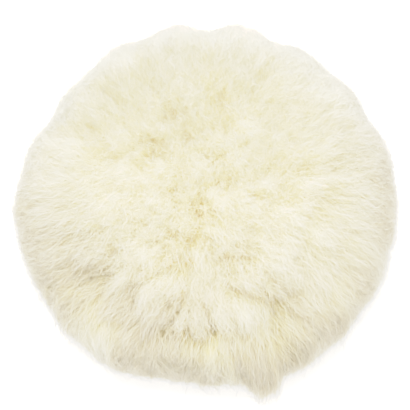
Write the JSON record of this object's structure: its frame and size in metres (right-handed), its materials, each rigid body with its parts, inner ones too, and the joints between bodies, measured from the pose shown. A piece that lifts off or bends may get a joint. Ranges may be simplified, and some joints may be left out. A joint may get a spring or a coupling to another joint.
{
  "type": "polishing pad",
  "caption": "Round long-haired lambswool polishing pad: a domed cream fleece wrapped over a foam core, with a sewn hook-and-loop face underneath.",
  "frame": {"origin": "centre of the loop face, at the bottom of the pad", "axes": "+Z along the spin axis, from the loop face out through the wool; X and Y are any two directions across the round pad"},
  "size_m": [0.19, 0.19, 0.0395],
  "materials": {
    "wool": "matte",
    "hide": "matte",
    "foam": "matte",
    "glue_film": "satin",
    "loop_fabric": "matte",
    "thread": "satin"
  },
  "bodies": {
    "root": {"loop_disc": "loop_fabric", "lower_glue_film": "glue_film", "foam_core": "foam", "upper_glue_film": "glue_film", "sheepskin_hide": "hide", "wool_pile": "wool", "outer_seam_needle_thread": "thread", "outer_seam_bobbin_thread": "thread", "inner_seam_needle_thread": "thread", "inner_seam_bobbin_thread": "thread"}
  },
  "joints": []
}
